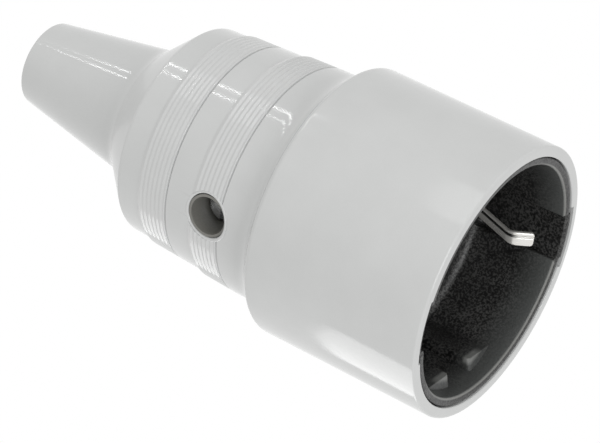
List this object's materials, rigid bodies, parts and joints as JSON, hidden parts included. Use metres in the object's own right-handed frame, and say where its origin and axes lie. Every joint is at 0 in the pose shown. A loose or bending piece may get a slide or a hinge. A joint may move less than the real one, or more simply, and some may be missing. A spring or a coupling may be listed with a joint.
{
  "type": "inline socket connector",
  "caption": "Inline cord socket for a two-pin round plug with side earth clips: light grey elastic sleeve with tapered cord nozzle, dark recessed insert.",
  "frame": {"origin": "centre of the mouth rim, in the plane that the socket stands on", "axes": "+Z from the mouth to the cord nozzle; X along the line of the two pins; Y along the line of the two earth clips, with the side hole on the -Y side"},
  "size_m": [0.049, 0.0488, 0.0953],
  "materials": {
    "sleeve_plastic": "satin light grey elastic plastic",
    "insert_plastic": "fine-grained dark grey hard plastic",
    "nickel_strip": "bright nickel plating",
    "plated_steel": "zinc plated",
    "brass": "plain brass"
  },
  "bodies": {
    "root": {"housing": "sleeve_plastic", "socket_front": "insert_plastic", "contact_carrier": "insert_plastic", "earth_strap": "nickel_strip", "earth_link": "nickel_strip", "earth_rivet": "brass", "earth_terminal": "brass", "earth_clamp_plate": "plated_steel", "earth_terminal_screw": "plated_steel", "line_contact_left": "brass", "line_contact_right": "brass", "contact_spring_left": "plated_steel", "contact_spring_right": "plated_steel", "line_clamp_plate_left": "plated_steel", "line_clamp_plate_right": "plated_steel", "line_terminal_screw_left": "plated_steel", "line_terminal_screw_right": "plated_steel", "carrier_screw_left": "plated_steel", "carrier_screw_right": "plated_steel", "cord_clamp_screw": "plated_steel", "cord_clamp_nut": "plated_steel", "cord_clamp_jaw": "insert_plastic"}
  },
  "joints": []
}
